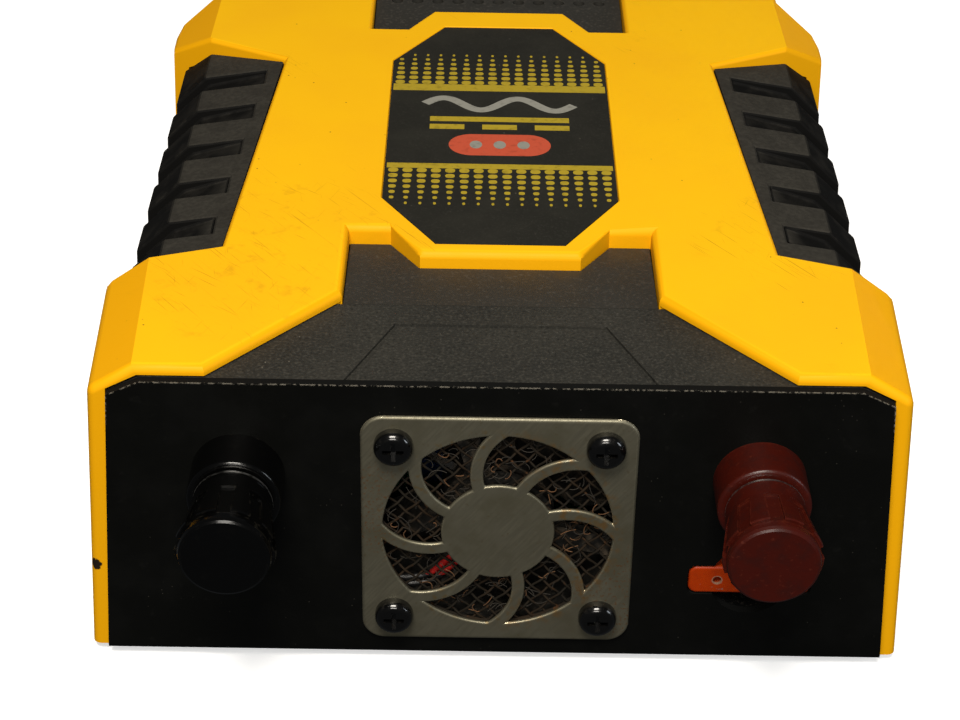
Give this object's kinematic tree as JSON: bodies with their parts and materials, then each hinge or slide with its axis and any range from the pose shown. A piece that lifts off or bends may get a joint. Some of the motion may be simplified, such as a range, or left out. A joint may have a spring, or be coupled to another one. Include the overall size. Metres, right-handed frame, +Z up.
{
  "type": "power inverter",
  "caption": "Compact 12 V power inverter: black textured case under a yellow saddle cover with rubber grips, binding posts, blade fuse, guarded fan, rocker switch, outlets and a USB port.",
  "frame": {"origin": "below the middle of the whole object, on the plane that its feet stand on", "axes": "+Y runs from the terminal end to the outlet end, +Z is up, +X is to the right seen from the terminal end"},
  "size_m": [0.1304, 0.1954, 0.0545],
  "materials": {
    "tray_paint": "black powder coat, bare metal along worn edges",
    "case_texture": "coarse moulded texture, dark grey",
    "vent_plastic": "fine moulded texture, near black",
    "cover_yellow": "amber yellow, lightly scuffed satin",
    "grip_rubber": "soft black rubber, dusty",
    "label_print": "printed film with olive-yellow halftone bands",
    "foot_rubber": "matte",
    "black_steel": "black oxide, glossy",
    "guard_steel": "dull plated sheet with rust tints",
    "screen_steel": "woven wire, dusty",
    "fan_plastic": "moulded black",
    "magnet": "pressed ferrite",
    "shaft_steel": "ground",
    "bearing_bronze": "sintered bronze",
    "stator_wound": "wound copper on laminations",
    "lead_mixed": "insulated hook-up wire",
    "lead_red": "insulated wire",
    "lead_black": "insulated wire",
    "zinc_steel": "bright zinc",
    "post_red": "dark red moulding, worn",
    "post_black": "black moulding, worn",
    "post_brass": "nickel-tinted brass",
    "fuse_orange": "translucent orange moulding",
    "fuse_zinc": "zinc alloy",
    "socket_plastic": "black nylon",
    "outlet_plastic": "black satin",
    "rocker_plastic": "black satin",
    "usb_plastic": "off-white",
    "lamp_green": "diffused lens",
    "lamp_red": "diffused lens",
    "board_laminate": "green solder mask",
    "ferrite": "ground ferrite",
    "winding_tape": "yellow polyester tape",
    "capacitor_sleeve": "shrink sleeve",
    "sink_aluminium": "extruded",
    "transistor_epoxy": "moulded epoxy",
    "choke_wound": "enamelled copper over a toroid"
  },
  "bodies": {
    "root": {"chassis_tray": "tray_paint", "upper_case": "case_texture", "saddle_cover": "cover_yellow", "grip_right": "grip_rubber", "grip_left": "grip_rubber", "front_insert": "vent_plastic", "vent_grille": "vent_plastic", "label_plate": "label_print", "rubber_feet": "foot_rubber", "case_screws": "black_steel", "fan_guard": "guard_steel", "dust_screen": "screen_steel", "fan_frame": "fan_plastic", "fan_stator": "stator_wound", "fan_bearing": "bearing_bronze", "fan_leads": "lead_mixed", "fan_screws": "black_steel", "fan_nuts": "zinc_steel", "fuse_socket": "socket_plastic", "fuse_clips": "post_brass", "lead_red": "lead_red", "lead_black": "lead_black", "outlet_left": "outlet_plastic", "outlet_right": "outlet_plastic", "outlet_contacts": "post_brass", "output_leads": "lead_black", "switch_housing": "socket_plastic", "usb_shell": "zinc_steel", "usb_tongue": "usb_plastic", "led_power": "lamp_green", "led_fault": "lamp_red", "main_board": "board_laminate", "board_supports": "zinc_steel", "transformer_core": "ferrite", "transformer_winding": "winding_tape", "input_capacitors": "capacitor_sleeve", "bus_capacitor": "capacitor_sleeve", "choke": "choke_wound", "heat_sinks": "sink_aluminium", "power_transistors": "transistor_epoxy", "red_collar": "post_red", "red_bush": "post_red", "red_stud": "post_brass", "red_nuts": "zinc_steel", "black_collar": "post_black", "black_bush": "post_black", "black_stud": "post_brass", "black_nuts": "zinc_steel"},
    "fan": {"fan_rotor": "fan_plastic", "fan_magnet": "magnet", "fan_shaft": "shaft_steel"},
    "red_carrier": {"red_washer": "zinc_steel"},
    "red_handle": {"red_knob": "post_red", "red_insert": "post_brass"},
    "black_carrier": {"black_washer": "zinc_steel"},
    "black_handle": {"black_knob": "post_black", "black_insert": "post_brass"},
    "fuse": {"fuse_body": "fuse_orange", "fuse_blades": "fuse_zinc"},
    "rocker": {"switch_rocker": "rocker_plastic"}
  },
  "joints": [
    {"name": "fan_spin", "type": "hinge", "parent": "root", "child": "fan", "pos_m": [0, -0.0643, 0.0263], "axis": [0, 1, 0], "continuous": true},
    {"name": "red_travel", "type": "slide", "parent": "root", "child": "red_carrier", "axis": [0, -1, 0], "range_m": [0, 0.005]},
    {"name": "red_turn", "type": "hinge", "parent": "red_carrier", "child": "red_handle", "pos_m": [0.0396, -0.0847, 0.0363], "axis": [0, -1, 0], "range_deg": [0, 1800]},
    {"name": "black_travel", "type": "slide", "parent": "root", "child": "black_carrier", "axis": [0, -1, 0], "range_m": [0, 0.005]},
    {"name": "black_turn", "type": "hinge", "parent": "black_carrier", "child": "black_handle", "pos_m": [-0.0396, -0.0847, 0.0363], "axis": [0, -1, 0], "range_deg": [0, 1800]},
    {"name": "fuse_pull", "type": "slide", "parent": "root", "child": "fuse", "axis": [0, -1, 0], "range_m": [0, 0.022]},
    {"name": "rocker_tilt", "type": "hinge", "parent": "root", "child": "rocker", "pos_m": [-0.0275, 0.0917, 0.0345], "axis": [1, 0, 0], "range_deg": [0, 16]}
  ],
  "couplings": [
    {"joint": "red_travel", "follows": "red_turn", "m_per_rad": 0.00015915},
    {"joint": "black_travel", "follows": "black_turn", "m_per_rad": 0.00015915}
  ]
}
